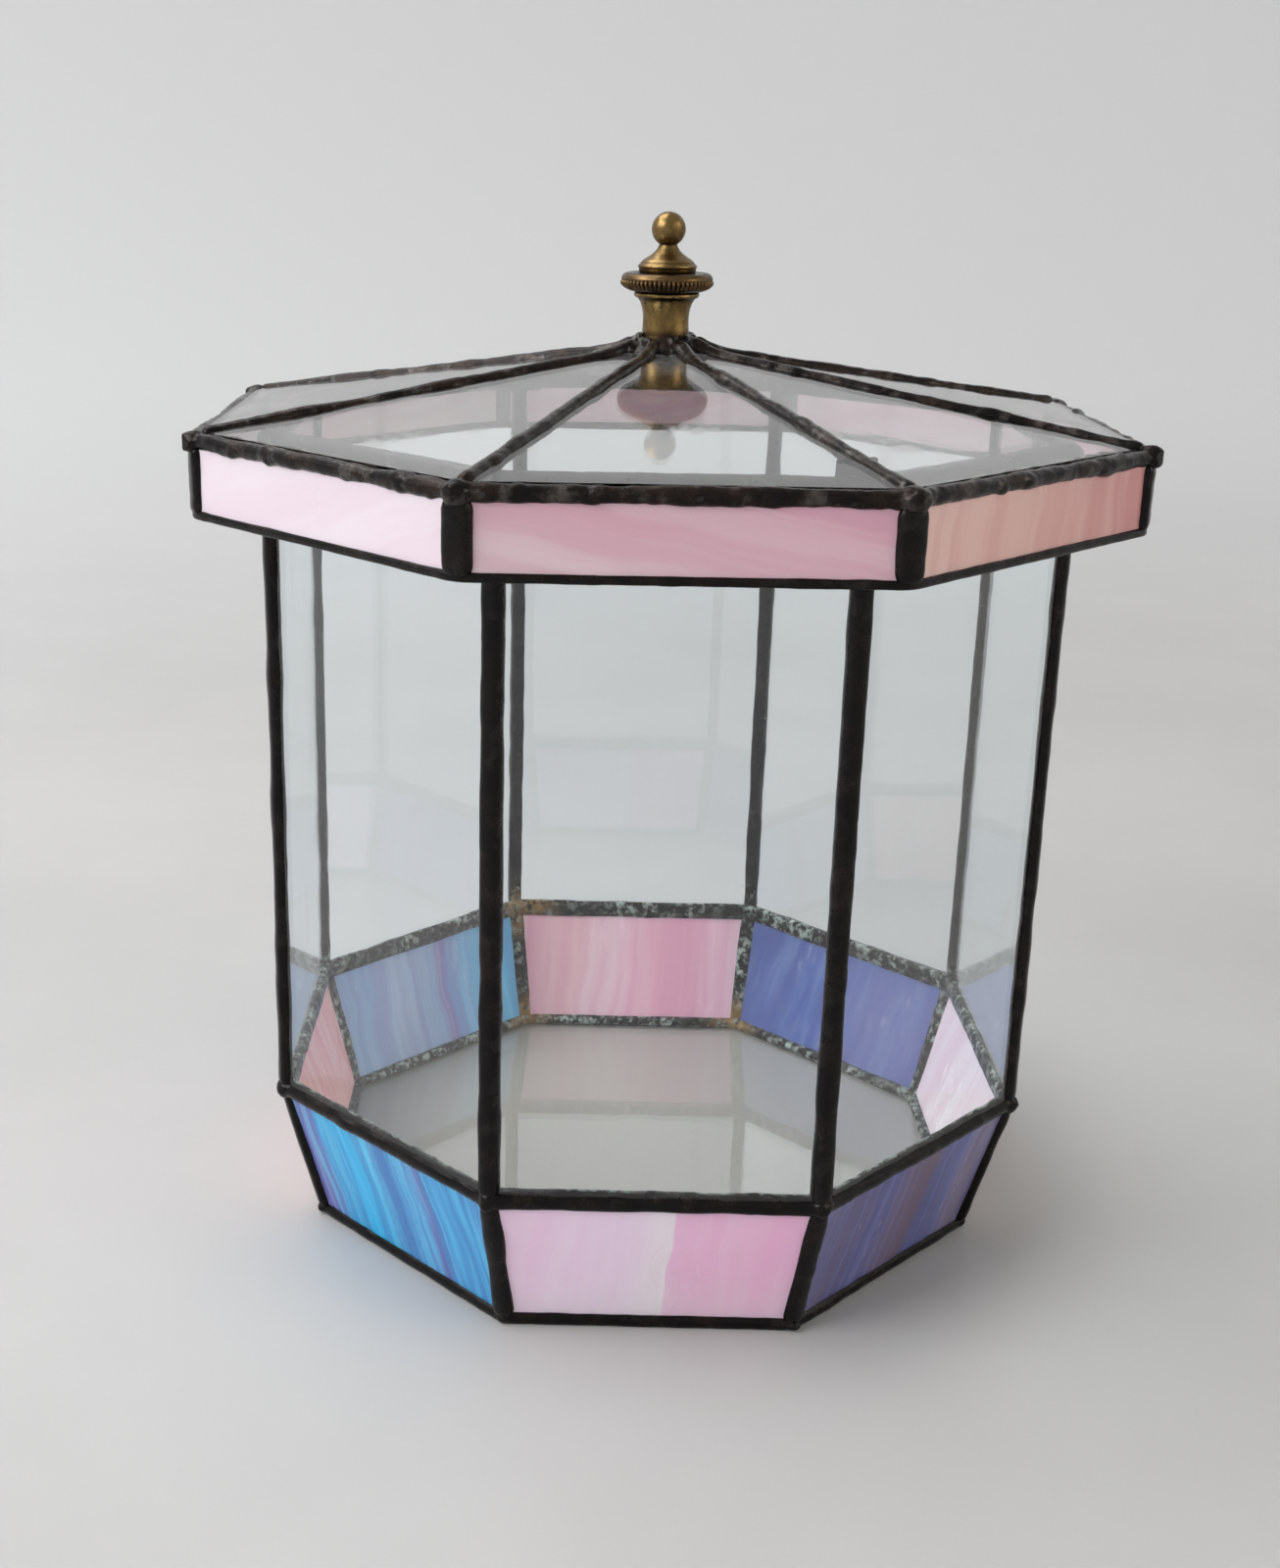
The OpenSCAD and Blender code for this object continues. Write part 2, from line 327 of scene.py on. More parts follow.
def clearGlass(name, look):
    made, tree, shader, out, place = newMaterial(name)
    marks = grimeOn(tree, place, look["seed"])
    shader.inputs["Base Color"].default_value = (*look["tint"], 1)
    shader.inputs["Transmission Weight"].default_value = 1.0
    shader.inputs["IOR"].default_value = 1.5
    rough = mathNode(tree, "MULTIPLY", marks["Smear"], look["smear"])
    rough = mathNode(tree, "ADD", rough, mathNode(tree, "MULTIPLY", marks["Specks"], look["specks"]))
    tree.links.new(rough, shader.inputs["Roughness"])
    roughen(tree, shader, marks["Swim"], look["swim"])
    # lamps reach what is behind the glass
    clear = addNode(tree, "ShaderNodeBsdfTransparent", {"Color": (*look["shade"], 1)})
    path = addNode(tree, "ShaderNodeLightPath").outputs["Is Shadow Ray"]
    mixed = addNode(tree, "ShaderNodeMixShader", {0: path, 1: shader.outputs[0], 2: clear.outputs[0]})
    tree.links.new(mixed.outputs[0], out.inputs["Surface"])
    return made


opalCommon = {
    "dust": 0.12, "dustColour": (0.55, 0.5, 0.47), "polish": 0.12, "worn": 0.25,
    "glow": 0.35, "glowColour": (1.0, 0.8, 0.85), "glowDeep": 3,  # mm
    "cloud": 0.6, "swim": 0.3,  # mm
}


def opalGlass(name, side, look):
    # rolled opalescent glass: colours set out across the pane, then bent and streaked
    made, tree, shader, out, place = newMaterial(name)
    pattern = addNode(tree, "ShaderNodeGroup", node_tree=streaks, inputs={
        "Vector": place, "Turn": side * turnStep, "Lean": look["lean"], "Across": look["across"],
        "Along": look["along"], "Warp": look["warp"], "Seed": look["seed"]}).outputs
    drift = mathNode(tree, "MULTIPLY", mathNode(tree, "SUBTRACT", pattern["Bands"], 0.5), look["drift"])
    colour = acrossRamp(tree, mathNode(tree, "ADD", pattern["Sideways"], drift), look["layout"])
    for key, low, high in (("light", 0.45, 0.95), ("deep", 0.55, 0.05)):
        tone, amount = look[key]
        share = mathNode(tree, "MULTIPLY", stretch(tree, pattern["Wisps"], low, high), amount)
        colour = blendColour(tree, share, colour, paint(*tone))
    if "foot" in look:
        # paler towards the bottom edge
        tone, amount, top = look["foot"]
        height = addNode(tree, "ShaderNodeSeparateXYZ", {0: place}).outputs["Z"]
        share = mathNode(tree, "MULTIPLY", stretch(tree, height, 2.0, top, 1.0, 0.0), amount)
        colour = blendColour(tree, share, colour, paint(*tone))
    marks = grimeOn(tree, place, look["seed"])
    dusty = mathNode(tree, "MULTIPLY", marks["Smear"], look.get("dust", opalCommon["dust"]))
    colour = blendColour(tree, dusty, colour, opalCommon["dustColour"])
    tree.links.new(colour, shader.inputs["Base Color"])
    worn = mathNode(tree, "MULTIPLY", marks["Smear"], opalCommon["worn"])
    tree.links.new(mathNode(tree, "ADD", worn, opalCommon["polish"]), shader.inputs["Roughness"])
    shader.inputs["Subsurface Weight"].default_value = opalCommon["glow"]
    shader.inputs["Subsurface Radius"].default_value = opalCommon["glowColour"]
    shader.inputs["Subsurface Scale"].default_value = opalCommon["glowDeep"] * mm
    cloudy = mathNode(tree, "MULTIPLY", pattern["Cloud"], opalCommon["cloud"])
    roughen(tree, shader, mathNode(tree, "ADD", marks["Swim"], cloudy), opalCommon["swim"])
    return made


def solderSkin(name, look):
    made, tree, shader, out, place = newMaterial(name)
    skin = addNode(tree, "ShaderNodeGroup", node_tree=patina, inputs={
        "Vector": place, "Dark": (*look["dark"], 1), "Brown": (*look["brown"], 1),
        "WornGlint": (*look["wornGlint"], 1), "WornGlintShare": look["wornGlintShare"]})
    colour, rough = skin.outputs["Color"], skin.outputs["Roughness"]
    if "oxide" in look:
        # white bloom on the inside of the low seams, where damp soil has lain
        parts = addNode(tree, "ShaderNodeSeparateXYZ", {0: place}).outputs
        wide = mathNode(tree, "ABSOLUTE", parts["X"])
        deep = mathNode(tree, "ABSOLUTE", parts["Y"])
        corner = mathNode(tree, "MULTIPLY", mathNode(tree, "ADD", wide, deep), math.sqrt(0.5))
        reach = mathNode(tree, "MAXIMUM", mathNode(tree, "MAXIMUM", wide, deep), corner)
        lean = mathNode(tree, "MULTIPLY", parts["Z"], look["lean"])
        pane = mathNode(tree, "ADD", lean, look["floorReach"])
        pane = mathNode(tree, "MINIMUM", pane, look["wallReach"])
        inside = stretch(tree, mathNode(tree, "SUBTRACT", reach, pane), -0.6, 0.7, 1.0, 0.0)
        inside = mathNode(tree, "MULTIPLY", inside, stretch(tree, parts["Z"], 49.0, 62.0, 1.0, 0.0))
        patches = stretch(tree, noiseNode(tree, place, 0.06, 2.0), 0.38, 0.6, 0.25, 1.0)
        crust = stretch(tree, noiseNode(tree, place, 0.34, 5.0, 0.66), 0.46, 0.62)
        mask = mathNode(tree, "MULTIPLY", mathNode(tree, "MULTIPLY", inside, crust), patches)
        mask = mathNode(tree, "MULTIPLY", mask, look["oxide"])
        colour = blendColour(tree, mask, colour, look["bloom"])
        for spot in look["rustAt"]:
            away = addNode(tree, "ShaderNodeVectorMath", {0: place, 1: spot}, operation="DISTANCE")
            rust = mathNode(tree, "MULTIPLY", stretch(tree, away.outputs["Value"], 3.0, 15.0, 1.0, 0.0),
                            stretch(tree, noiseNode(tree, place, 0.35, 4.0, 0.6), 0.34, 0.56))
            colour = blendColour(tree, mathNode(tree, "MULTIPLY", rust, inside), colour, look["rust"])
        rough = mathNode(tree, "ADD", rough, mathNode(tree, "MULTIPLY", mask, 0.4))
    tree.links.new(colour, shader.inputs["Base Color"])
    tree.links.new(rough, shader.inputs["Roughness"])
    shader.inputs["Metallic"].default_value = look["metallic"]
    shader.inputs["Specular IOR Level"].default_value = look["shine"]
    roughen(tree, shader, skin.outputs["Height"], look["crust"])
    return made


def agedBrass(name, look):
    made, tree, shader, out, place = newMaterial(name)
    parts = addNode(tree, "ShaderNodeSeparateXYZ", {0: place}).outputs
    lathe = vectorNode(tree, "MULTIPLY", place, (0.05, 0.05, 3.2))
    rings = noiseNode(tree, lathe, 1.0, 3.0)
    tarnish = stretch(tree, noiseNode(tree, place, 0.16, 5.0, 0.65), 0.38, 0.64)
    spots = stretch(tree, noiseNode(tree, place, 1.1, 3.0, 0.6), 0.58, 0.7)
    dulled = mathNode(tree, "MULTIPLY", tarnish, look["tarnish"])
    colour = blendColour(tree, dulled, look["bright"], look["dull"])
    colour = blendColour(tree, mathNode(tree, "MULTIPLY", spots, 0.5), colour, look["spot"])
    for height, width in look["grooves"]:
        gap = mathNode(tree, "ABSOLUTE", mathNode(tree, "SUBTRACT", parts["Z"], height))
        colour = blendColour(tree, stretch(tree, gap, 0.0, width, 0.85, 0.0), colour, look["spot"])
    if "flutes" in look:
        # darker between the flutes
        count, low, high = look["flutes"]
        angle = mathNode(tree, "MULTIPLY", mathNode(tree, "ARCTAN2", parts["Y"], parts["X"]), count)
        valley = stretch(tree, mathNode(tree, "COSINE", angle), 0.1, -0.7)
        level = mathNode(tree, "MULTIPLY", stretch(tree, parts["Z"], low - 0.3, low + 0.3),
                         stretch(tree, parts["Z"], high - 0.3, high + 0.3, 1.0, 0.0))
        colour = blendColour(tree, mathNode(tree, "MULTIPLY", valley, level), colour, look["spot"])
    tree.links.new(colour, shader.inputs["Base Color"])
    shader.inputs["Metallic"].default_value = 1.0
    rough = mathNode(tree, "ADD", mathNode(tree, "MULTIPLY", tarnish, 0.16),
                     mathNode(tree, "ADD", mathNode(tree, "MULTIPLY", rings, 0.12), look["rough"]))
    tree.links.new(rough, shader.inputs["Roughness"])
    roughen(tree, shader, rings, 0.03, 0.6)
    return made


# panes, which keep their CAD shapes

# colours are screen values, places across a pane are mm from its middle
clearLooks = {
    "wall_pane": {"tint": (0.958, 0.987, 1.0), "shade": (0.92, 0.93, 0.925),
                  "smear": 0.05, "specks": 0.2, "swim": 0.05, "seed": 3.0},
    "roof_pane": {"tint": (0.985, 0.995, 0.993), "shade": (0.9, 0.91, 0.9),
                  "smear": 0.08, "specks": 0.2, "swim": 0.05, "seed": 21.0},
    # the floor glass is tinted darker and warmer than the walls: partly its own colour, partly painted
    # shade inside the case
    "floor_pane": {"tint": (0.83, 0.815, 0.79), "shade": (0.86, 0.85, 0.83),
                   "smear": 0.16, "specks": 0.2, "swim": 0.08, "seed": 40.0},
}
opalLooks = {
    "skirt_pane_front": {
        "lean": 0.1, "across": 0.07, "along": 0.008,
        "warp": 7.0, "drift": 2.5, "seed": 1.3,
        "layout": [(-46, (247, 212, 237)), (-24, (247, 223, 245)), (-12, (247, 225, 247)),
                   (-2, (247, 238, 247)), (1.7, (247, 240, 247)), (2.1, (247, 204, 233)),
                   (14, (247, 198, 229)), (26, (247, 192, 226)), (46, (247, 198, 229))],
        "light": ((247, 242, 247), 0.14), "deep": ((247, 187, 223), 0.08),
        "foot": ((247, 244, 247), 0.3, 26),
    },
    "skirt_pane_back": {
        "lean": -0.06, "across": 0.06, "along": 0.006,
        "warp": 8.0, "drift": 10.0, "seed": 7.7,
        "layout": [(-46, (218, 174, 193)), (-30, (221, 174, 193)), (-20, (219, 165, 184)),
                   (-8, (221, 167, 185)), (3, (223, 183, 197)), (14, (221, 190, 199)),
                   (24, (218, 179, 187)), (46, (202, 155, 169))],
        "light": ((226, 206, 211), 0.3), "deep": ((209, 146, 173), 0.3),
    },
    "skirt_pane_left": {
        "lean": 0.3, "across": 0.06, "along": 0.01,
        "warp": 9.0, "drift": 12.0, "seed": 12.1,
        "layout": [(-46, (254, 197, 200)), (0, (254, 201, 204)), (46, (254, 199, 198))],
        "light": ((254, 228, 229), 0.3), "deep": ((250, 157, 168), 0.4),
    },
    "skirt_pane_right": {
        "lean": -0.3, "across": 0.06, "along": 0.01,
        "warp": 9.0, "drift": 12.0, "seed": 15.4,
        "layout": [(-46, (224, 207, 216)), (0, (226, 215, 222)), (46, (222, 204, 214))],
        "light": ((228, 226, 227), 0.15), "deep": ((213, 164, 186), 0.3),
    },
    "skirt_pane_front_left": {
        "lean": -0.14, "across": 0.15, "along": 0.012,
        "warp": 6.0, "drift": 7.0, "seed": 23.6, "dust": 0.03,
        "layout": [(-40, (116, 98, 168)), (-31, (104, 118, 182)), (-25, (34, 152, 212)),
                   (-16, (4, 178, 234)), (-9, (8, 174, 230)), (-3, (84, 196, 240)),
                   (3, (52, 136, 200)), (12, (84, 166, 220)), (19, (100, 118, 184)),
                   (26, (66, 160, 218)), (36, (60, 152, 212)), (48, (80, 170, 224))],
        "light": ((96, 206, 240), 0.36), "deep": ((62, 92, 168), 0.42),
    },
    "skirt_pane_back_left": {
        "lean": 0.06, "across": 0.07, "along": 0.006,
        "warp": 10.0, "drift": 8.0, "seed": 31.2,
        "layout": [(-46, (98, 185, 223)), (-30, (109, 185, 223)), (-18, (123, 180, 221)),
                   (-11, (134, 168, 211)), (-6, (143, 134, 186)), (-1, (141, 164, 203)),
                   (10, (155, 174, 207)), (20, (147, 168, 205)), (30, (136, 170, 211)),
                   (46, (141, 170, 209))],
        "light": ((176, 203, 227), 0.35), "deep": ((128, 130, 186), 0.3),
    },
    "skirt_pane_front_right": {
        "lean": 0.12, "across": 0.1, "along": 0.005,
        "warp": 6.0, "drift": 6.0, "seed": 44.8,
        "layout": [(-46, (105, 104, 148)), (-30, (101, 100, 146)), (-22, (93, 92, 146)),
                   (-13, (95, 98, 157)), (-7, (112, 102, 139)), (2, (107, 92, 117)),
                   (8, (86, 92, 148)), (20, (93, 100, 159)), (28, (116, 106, 139)),
                   (46, (107, 106, 148))],
        "light": ((139, 143, 211), 0.25), "deep": ((109, 84, 115), 0.25),
    },
    "skirt_pane_back_right": {
        "lean": -0.15, "across": 0.05, "along": 0.01,
        "warp": 9.0, "drift": 14.0, "seed": 52.5,
        "layout": [(-46, (93, 102, 155)), (-14, (96, 106, 157)), (10, (80, 99, 155)),
                   (30, (82, 97, 151)), (46, (76, 87, 138))],
        "light": ((116, 137, 178), 0.35), "deep": ((74, 77, 134), 0.3),
    },
}
fasciaPale = {
    "lean": 1.2, "across": 0.05, "along": 0.006,
    "warp": 10.0, "drift": 30.0, "seed": 61.0,
    "layout": [(-60, (220, 205, 213)), (60, (222, 209, 216))],
    "light": ((225, 217, 221), 0.3), "deep": ((218, 196, 209), 0.3),
}
fasciaPink = {
    "lean": -1.36, "across": 0.08, "along": 0.006,
    "warp": 6.0, "drift": 6.0, "seed": 66.6,
    "layout": [(208, (222, 201, 208)), (218, (220, 195, 202)), (226, (217, 181, 192)),
               (234, (214, 171, 185)), (245, (211, 165, 181))],
    "light": ((228, 208, 215), 0.24), "deep": ((208, 152, 171), 0.26),
}
fasciaPeach = {
    "lean": 0.06, "across": 0.05, "along": 0.008,
    "warp": 10.0, "drift": 9.0, "seed": 71.9,
    "layout": [(-66, (223, 188, 181)), (-40, (219, 180, 174)), (-14, (214, 172, 166)),
               (8, (207, 159, 155)), (26, (198, 139, 139)), (40, (193, 132, 136))],
    "light": ((224, 192, 187), 0.25), "deep": ((195, 138, 135), 0.25),
}
fasciaLooks = {
    "front": fasciaPink, "front_right": fasciaPeach, "right": fasciaPink, "back_right": fasciaPink,
    "back": fasciaPink, "back_left": fasciaPink, "left": fasciaPale, "front_left": fasciaPale,
}
seedStep = 5.3
for index, sideName in enumerate(sideNames):
    look = fasciaLooks[sideName]
    opalLooks["fascia_pane_" + sideName] = dict(look, seed=look["seed"] + seedStep * index)


def dressPanes():
    clear = {kind: clearGlass(kind + "_glass", look) for kind, look in clearLooks.items()}
    for name, node in nodes.items():
        kind = next((k for k in clear if name.startswith(k)), None)
        if kind:
            node.data.materials.clear()
            node.data.materials.append(clear[kind])
        elif name in opalLooks:
            side = sideNames.index(name.split("pane_")[1])
            node.data.materials.clear()
            node.data.materials.append(opalGlass(name + "_glass", side, opalLooks[name]))


dressPanes()
print("panes dressed")


# solder, run as beads that swell, ripple and pool at the corners; looks are in mm

ringSwell = (0.07, 9)  # share of the radius, mm between swellings
barSwell = (0.08, 10)
driftSize = 16 * mm  # how far apart a bead wanders
skinGap = 0.02 * mm  # kept inside the outer faces
beadSides = 18  # corners in a round bead's section
barSides = 20
flatSides = 16


def roundSection(count):
    return [(math.cos(2 * math.pi * i / count), math.sin(2 * math.pi * i / count)) for i in range(count)]


def squareSection(count, wide, tall, power=0.45):
    # rounded oblong, squarer for a smaller power
    made = []
    for c, s in roundSection(count):
        made.append((math.copysign(abs(c) ** power, c) * wide, math.copysign(abs(s) ** power, s) * tall))
    return made


def ringPath(apothem, z, step, softness):
    points = []
    for k in range(sides):
        a, b = atCorner(k - 1, apothem, z), atCorner(k, apothem, z)
        count = max(4, round((b - a).length / step))
        points += [a.lerp(b, i / count) for i in range(count)]
    count = len(points)
    for _ in range(softness):
        points = [(points[i - 1] + points[i] * 2 + points[(i + 1) % count]) / 4 for i in range(count)]
    return points


def linePath(points, step):
    made = []
    for a, b in zip(points, points[1:]):
        count = max(1, round((b - a).length / step))
        made += [a.lerp(b, i / count) for i in range(count)]
    made.append(points[-1])
    for _ in range(3):
        inner = [(made[i - 1] + made[i] * 2 + made[i + 1]) / 4 for i in range(1, len(made) - 1)]
        made = [made[0]] + inner + [made[-1]]
    return made


def sweep(mesh, path, section, radius, closed, wander, seed):
    # radius may be one size or a list along the path
    rings = []
    count = len(path)
    for i, point in enumerate(path):
        before = path[i - 1] if closed or i > 0 else path[0]
        after = path[(i + 1) % count] if closed or i < count - 1 else path[-1]
        along = (after - before).normalized()
        up = Vector((0, 0, 1)) if abs(along.z) < 0.7 else Vector((point.x, point.y, 0)).normalized()
        up = (up - along * up.dot(along)).normalized()
        out = along.cross(up)
        size = radius[i] if isinstance(radius, list) else radius
        if not closed:
            fromEnd = min(i, count - 1 - i) * (path[1] - path[0]).length
            size *= math.sqrt(max(0.02, 1 - max(0.0, 1 - fromEnd / max(size, 1e-6)) ** 2))
        drift = noise.noise_vector(point / driftSize + Vector((seed, 0, 0))) * wander
        rings.append([mesh.verts.new(point + drift + (out * c + up * s) * size) for c, s in section])
    around = len(section)
    for i in range(count if closed else count - 1):
        low, high = rings[i], rings[(i + 1) % count]
        for j in range(around):
            k = (j + 1) % around
            mesh.faces.new((low[j], low[k], high[k], high[j]))
    if not closed:
        mesh.faces.new(list(reversed(rings[0])))
        mesh.faces.new(rings[-1])


def pool(mesh, centre, radii, turn=0.0, seed=0.0):
    # a blob of solder where seams meet
    made = bmesh.ops.create_icosphere(mesh, subdivisions=3, radius=1.0)["verts"]
    spin = Euler((0, 0, turn)).to_matrix()
    for v in made:
        bulge = 1 + 0.16 * noise.noise(v.co * 1.4 + Vector((seed, seed * 0.37, 0)))
        v.co = spin @ Vector((v.co.x * radii[0], v.co.y * radii[1], v.co.z * radii[2])) * bulge + centre


def cornerTurn(index):
    return halfTurn + index * turnStep


def melt(name, mesh, look):
    # joins beads and pools into one skin, then ripples it
    bmesh.ops.recalc_face_normals(mesh, faces=mesh.faces)
    data = bpy.data.meshes.new(name)
    mesh.to_mesh(data)
    mesh.free()
    piece = bpy.data.objects.new(name, data)
    scene.collection.objects.link(piece)
    fuse = piece.modifiers.new("fuse", "REMESH")
    fuse.mode = "VOXEL"
    fuse.voxel_size = look["grain"] * mm
    soften = piece.modifiers.new("soften", "SMOOTH")
    soften.factor = 0.5
    soften.iterations = look["soften"]
    ready = piece.evaluated_get(bpy.context.evaluated_depsgraph_get())
    skin = bpy.data.meshes.new_from_object(ready)
    piece.modifiers.clear()
    piece.data = skin
    skin.name = name
    seed = Vector((look["seed"], look["seed"] * 1.7, 0))
    moved = []
    for v in skin.vertices:
        place = v.co / mm
        push = 0.0
        for size, height in look["ripples"]:
            push += height * noise.noise(place / size + seed)
        lump = noise.noise(place / look["lumpSize"] - seed)
        push += look["lumps"] * max(0.0, lump - 0.28) * 2.5
        spot = v.co + v.normal * push * mm
        spot.z = max(spot.z, cadLow.z)
        for out in outward:
            over = spot.dot(out) - (cadHigh.y - skinGap)
            if over > 0:
                spot -= out * over
        moved.append(spot)
    for v, spot in zip(skin.vertices, moved):
        v.co = spot
    skin.polygons.foreach_set("use_smooth", [True] * len(skin.polygons))
    skin.update()
    return piece


def swelling(path, look, swell, seed):
    share, size = swell
    return [look["radius"] * mm * (1 + share * noise.noise(p / (size * mm) + Vector(seed))) for p in path]


def ringSeam(name, ring, look, inner=None):
    mesh = bmesh.new()
    path = ringPath(ring[0], ring[1], look["step"] * mm, 4)
    rng = random.Random(look["seed"])
    swell = swelling(path, look, ringSwell, (look["seed"], 3, 1))
    sweep(mesh, path, roundSection(beadSides), swell, True, look["wander"] * mm, look["seed"])
    for k in range(sides):
        radii = [r * mm * rng.uniform(0.92, 1.08) for r in look["pool"]]
        corner = atCorner(k, ring[0] - 0.2 * mm, ring[1])
        pool(mesh, corner, radii, cornerTurn(k) + math.pi / 2, k + look["seed"])
    if inner:
        # flatter bead on the other face of the glass
        wide, tall = look["inner"]
        flat = ringPath(inner[0], inner[1], look["step"] * mm, 3)
        sweep(mesh, flat, squareSection(flatSides, wide * mm, tall * mm, 0.8), 1.0, True, 0.1 * mm,
              look["seed"] + 9)
    return melt(name, mesh, look)


def barSeam(name, look, lines):
    # one straight bead for each list of points
    mesh = bmesh.new()
    step = look["step"] * mm
    section = squareSection(barSides, *look.get("section", (1.0, 1.0, 1.0)))
    for k, points in enumerate(lines):
        path = linePath(points, step)
        swell = swelling(path, look, barSwell, (look["seed"], k, 1))
        sweep(mesh, path, section, swell, False, look["wander"] * mm, look["seed"] + k)
        if "under" in look:
            # flatter bead on the other face of the glass
            drop, wide, tall = look["under"]
            low = linePath([p - Vector((0, 0, drop * mm)) for p in points[1:]], step)
            sweep(mesh, low, squareSection(flatSides, wide, tall, 0.8), mm, False, 0.1 * mm, k)
        if "inner" in look:
            # and one on the inside of the case
            shift, wide, tall = look["inner"]
            back = linePath([p - Vector((p.x, p.y, 0)).normalized() * (shift * mm) for p in points], step)
            sweep(mesh, back, squareSection(flatSides, wide, tall, 0.85), mm, False, 0.15 * mm, k + 40)
    return melt(name, mesh, look)


def finish(piece, body, slot, material, *replaced):
    piece.data.materials.clear()
    piece.data.materials.append(material)
    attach(piece, body)
    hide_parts(*replaced)


baseLook = {
    "radius": 2.6, "step": 1.4, "wander": 0.15, "pool": (3.9, 2.5, 2.2), "inner": (2.1, 1.8),
    "grain": 0.8, "soften": 2, "seed": 2.0, "ripples": [(14, 0.2), (4.5, 0.1)],
    "lumps": 0.2, "lumpSize": 9.0,
}
sillLook = {
    "radius": 2.8, "step": 1.4, "wander": 0.15, "pool": (4.2, 3.1, 3.7), "inner": (1.5, 3.2),
    "grain": 0.8, "soften": 2, "seed": 8.0, "ripples": [(13, 0.25), (4.5, 0.12)],
    "lumps": 0.3, "lumpSize": 8.0,
}
baseRing = ringOf("base_seam", baseLook["radius"])
sillRing = ringOf("sill_seam", sillLook["radius"])
baseInner = (baseRing[0] - 2.0 * mm, baseRing[1] + 2.5 * mm)
sillInner = (sillRing[0] - 1.9 * mm, sillRing[1])

floorReach = -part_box("floor_pane")[0].y / mm
wallReach = -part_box("wall_pane_front")[1].y / mm
cornerAcross = floorReach * math.tan(halfTurn)
solderCommon = {
    "dark": (0.0035, 0.003, 0.0027), "brown": (0.0095, 0.0062, 0.005), "wornGlint": (0.045, 0.04, 0.037),
    "wornGlintShare": 0.22, "metallic": 0.25, "shine": 0.2, "crust": 0.06,
}
# roof solder: larger, lighter worn spots, partly wear and partly painted highlight along the eave and
# ridges
solderRoof = {
    "dark": (0.010, 0.0085, 0.008), "brown": (0.024, 0.016, 0.013), "wornGlint": (0.17, 0.155, 0.145),
    "wornGlintShare": 0.4, "metallic": 0.6, "crust": 0.08,
}
solderDamp = {
    "oxide": 0.85, "bloom": paint(160, 172, 164), "rust": paint(126, 98, 54),
    "lean": (wallReach - floorReach) / (sillRing[1] / mm), "floorReach": floorReach, "wallReach": wallReach,
    "rustAt": [(cornerAcross, floorReach, 3), (-cornerAcross, floorReach, 3),
               (-cornerAcross, floorReach + 8, 46)],
}
solderPlain = solderSkin("solder", solderCommon)
solderShiny = solderSkin("solderRoof", dict(solderCommon, **solderRoof))
solderLow = solderSkin("solderLow", dict(solderCommon, **solderDamp))

baseBead = ringSeam("baseBead", baseRing, baseLook, baseInner)
finish(baseBead, "case", "dark_solder", solderLow, "base_seam")

skirtLook = {
    "radius": 3.0, "step": 1.4, "wander": 0.12, "section": (1.0, 0.9, 0.75), "inner": (2.0, 3.3, 1.4),
    "grain": 0.8, "soften": 2, "seed": 5.0, "ripples": [(14, 0.2), (4.5, 0.08)],
    "lumps": 0.2, "lumpSize": 9.0,
}
skirtLines = [[atCorner(k, *baseRing), atCorner(k, *sillRing)] for k in range(sides)]
finish(barSeam("skirtBeads", skirtLook, skirtLines), "case", "dark_solder", solderLow, "skirt_seams")

sillBead = ringSeam("sillBead", sillRing, sillLook, sillInner)
finish(sillBead, "case", "dark_solder", solderLow, "sill_seam")

rimLook = {
    "radius": 2.8, "step": 1.4, "wander": 0.12, "pool": (3.6, 3.2, 2.6),
    "grain": 0.8, "soften": 2, "seed": 14.0, "ripples": [(13, 0.2), (4.2, 0.1)],
    "lumps": 0.2, "lumpSize": 8.0,
}
postLook = {
    "radius": 3.1, "step": 1.4, "wander": 0.12, "section": (0.97, 0.92, 0.72),
    "grain": 0.8, "soften": 2, "seed": 11.0, "ripples": [(20, 0.2), (6.0, 0.08)],
    "lumps": 0.2, "lumpSize": 12.0,
}
rimRing = ringOf("rim_seam", rimLook["radius"])
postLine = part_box("corner_posts")[1].x - postLook["radius"] * mm
postLines = [[atCorner(k, postLine, sillRing[1]), atCorner(k, postLine, rimRing[1])]
             for k in range(sides)]
finish(barSeam("postBeads", postLook, postLines), "case", "dark_solder", solderLow, "corner_posts")
finish(ringSeam("rimBead", rimRing, rimLook), "case", "dark_solder", solderPlain, "rim_seam")

eaveLook = {
    "radius": 2.35, "step": 1.3, "wander": 0.35, "pool": (4.5, 3.8, 3.2), "inner": (2.7, 1.3),
    "grain": 0.65, "soften": 1, "seed": 20.0, "ripples": [(17, 0.35), (5.0, 0.26), (2.2, 0.12)],
    "lumps": 0.55, "lumpSize": 6.0,
}
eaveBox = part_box("eave_seam")
eaveRing = (eaveBox[1].y - (eaveLook["radius"] + 0.3) * mm, (eaveBox[0].z + eaveBox[1].z) / 2 - 0.3 * mm)
eaveInner = (lidInner - 1.9 * mm, eaveLow.z - 1.1 * mm)

ridgeLook = {
    "radius": 2.4, "step": 1.3, "wander": 0.4, "under": (2.0, 3.1, 1.1),
    "grain": 0.65, "soften": 1, "seed": 17.0, "ripples": [(13, 0.32), (5.0, 0.18), (2.4, 0.08)],
    "lumps": 0.4, "lumpSize": 9.0,
    "rise": [(9, 3.4), (13, 1.7), (20, 0.6)],  # distance from the middle, lift off the glass
}
ridgeEnd = eaveRing[0] / math.cos(halfTurn) - 1.5 * mm
ridgeLines = [[ridgePoint(k, reach * mm, lift * mm) for reach, lift in ridgeLook["rise"]]
              + [ridgePoint(k, ridgeEnd, 0.4 * mm)] for k in range(sides)]
finish(barSeam("ridgeBeads", ridgeLook, ridgeLines), "lid", "dark_solder", solderShiny, "ridge_seams")

eaveBead = ringSeam("eaveBead", eaveRing, eaveLook, eaveInner)
finish(eaveBead, "lid", "dark_solder", solderShiny, "eave_seam")

